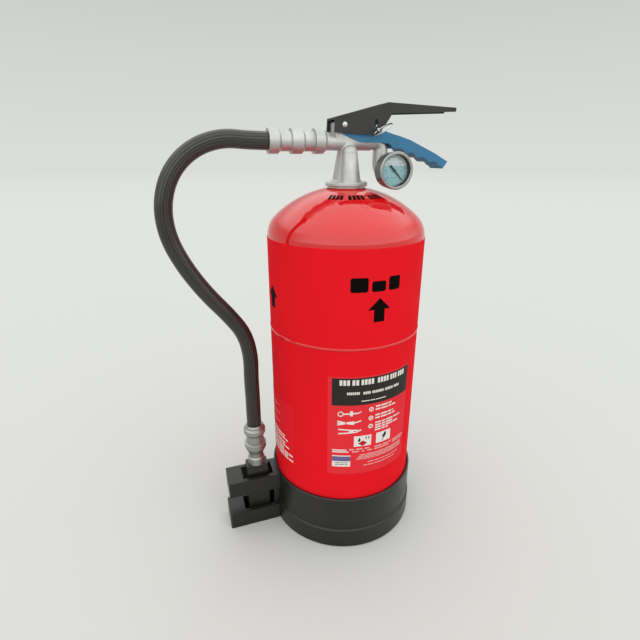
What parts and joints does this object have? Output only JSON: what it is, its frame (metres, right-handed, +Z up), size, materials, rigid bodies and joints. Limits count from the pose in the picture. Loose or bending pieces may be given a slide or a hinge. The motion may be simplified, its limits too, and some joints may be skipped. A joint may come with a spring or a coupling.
{
  "type": "portable fire extinguisher",
  "caption": "Red portable fire extinguisher with squeeze valve, pressure gauge, curved hose and a nozzle standing in the holder on its base.",
  "frame": {"origin": "centre of the base's flat face on the floor", "axes": "+Z up along the vessel's axis, +X towards the tips of the levers, -X towards the hose and nozzle holder, -Y the front with gauge and label"},
  "size_m": [0.293, 0.1694, 0.4562],
  "materials": {
    "red_paint": "satin red enamel",
    "red_gloss": "gloss red enamel",
    "bare_steel": "turned",
    "black_plastic": "fine moulded grain",
    "cast_silver": "bead-blasted casting",
    "coupling_silver": "satin turned",
    "fitting_grey": "matt turned",
    "seal_rubber": "matt",
    "white_plastic": "extruded",
    "brass": "turned",
    "blue_plastic": "satin blue moulding",
    "rivet_steel": "bright zinc plate",
    "hose_rubber": "ribbed",
    "gauge_steel": "satin",
    "lens_glass": "clear",
    "dial_face": "printed",
    "label_sheet": "printed vinyl",
    "dark_lever": "dark powder coat",
    "needle_black": "black"
  },
  "bodies": {
    "extinguisher": {"lower_shell": "red_paint", "upper_shell": "red_paint", "dome": "red_gloss", "girth_weld": "red_paint", "neck_ring": "bare_steel", "base_boot": "black_plastic", "nozzle_holder": "black_plastic", "valve_body": "cast_silver", "neck_oring": "seal_rubber", "stem_oring": "seal_rubber", "siphon_tube": "white_plastic", "spring_retainer": "brass", "carry_handle": "blue_plastic", "lever_rivet": "rivet_steel", "handle_rivet": "rivet_steel", "upper_ferrule": "coupling_silver", "union_nut": "coupling_silver", "outlet_adapter": "coupling_silver", "upper_hose_tail": "brass", "hose": "hose_rubber", "gauge_elbow": "cast_silver", "gauge_washer": "seal_rubber", "gauge_case": "gauge_steel", "gauge_bezel": "gauge_steel", "gauge_lens": "lens_glass", "lens_gasket": "seal_rubber", "gauge_dial": "dial_face", "gauge_stem": "brass", "bourdon_tube": "brass", "front_label": "label_sheet", "side_label": "label_sheet", "valve_spring": "rivet_steel"},
    "lever": {"squeeze_lever": "dark_lever"},
    "stem": {"valve_stem": "brass", "stem_seal": "seal_rubber"},
    "pin": {"safety_pin": "rivet_steel"},
    "ring": {"pull_ring": "rivet_steel"},
    "needle": {"gauge_needle": "needle_black", "needle_spindle": "brass"},
    "nozzle_end": {"nozzle": "black_plastic", "nozzle_collar": "fitting_grey", "nozzle_union": "fitting_grey", "lower_ferrule": "fitting_grey", "lower_hose_tail": "brass"}
  },
  "joints": [
    {"name": "lever_squeeze", "type": "hinge", "parent": "extinguisher", "child": "lever", "pos_m": [-0.007, 0, 0.4364], "axis": [0, 1, 0], "range_deg": [0, 15], "stiffness_Nm_per_rad": 0.6, "springref_deg": -20.05},
    {"name": "stem_push", "type": "slide", "parent": "extinguisher", "child": "stem", "axis": [0, 0, -1], "range_m": [0, 0.0022], "deforming": ["valve_spring"]},
    {"name": "pin_pull", "type": "slide", "parent": "extinguisher", "child": "pin", "axis": [0, -1, 0], "range_m": [0, 0.032]},
    {"name": "ring_swing", "type": "hinge", "parent": "pin", "child": "ring", "pos_m": [0.0243, -0.016, 0.4319], "axis": [0.8387, 0, 0.5446], "range_deg": [0, 85]},
    {"name": "needle_turn", "type": "hinge", "parent": "extinguisher", "child": "needle", "pos_m": [0.035, -0.032, 0.3967], "axis": [0, -1, 0], "range_deg": [0, 270], "stiffness_Nm_per_rad": 0.00004},
    {"name": "nozzle_lift", "type": "slide", "parent": "extinguisher", "child": "nozzle_end", "axis": [0, 0, 1], "range_m": [0, 0.066], "deforming": ["hose"]}
  ],
  "couplings": [
    {"joint": "stem_push", "follows": "lever_squeeze", "m_per_rad": 0.0082}
  ]
}
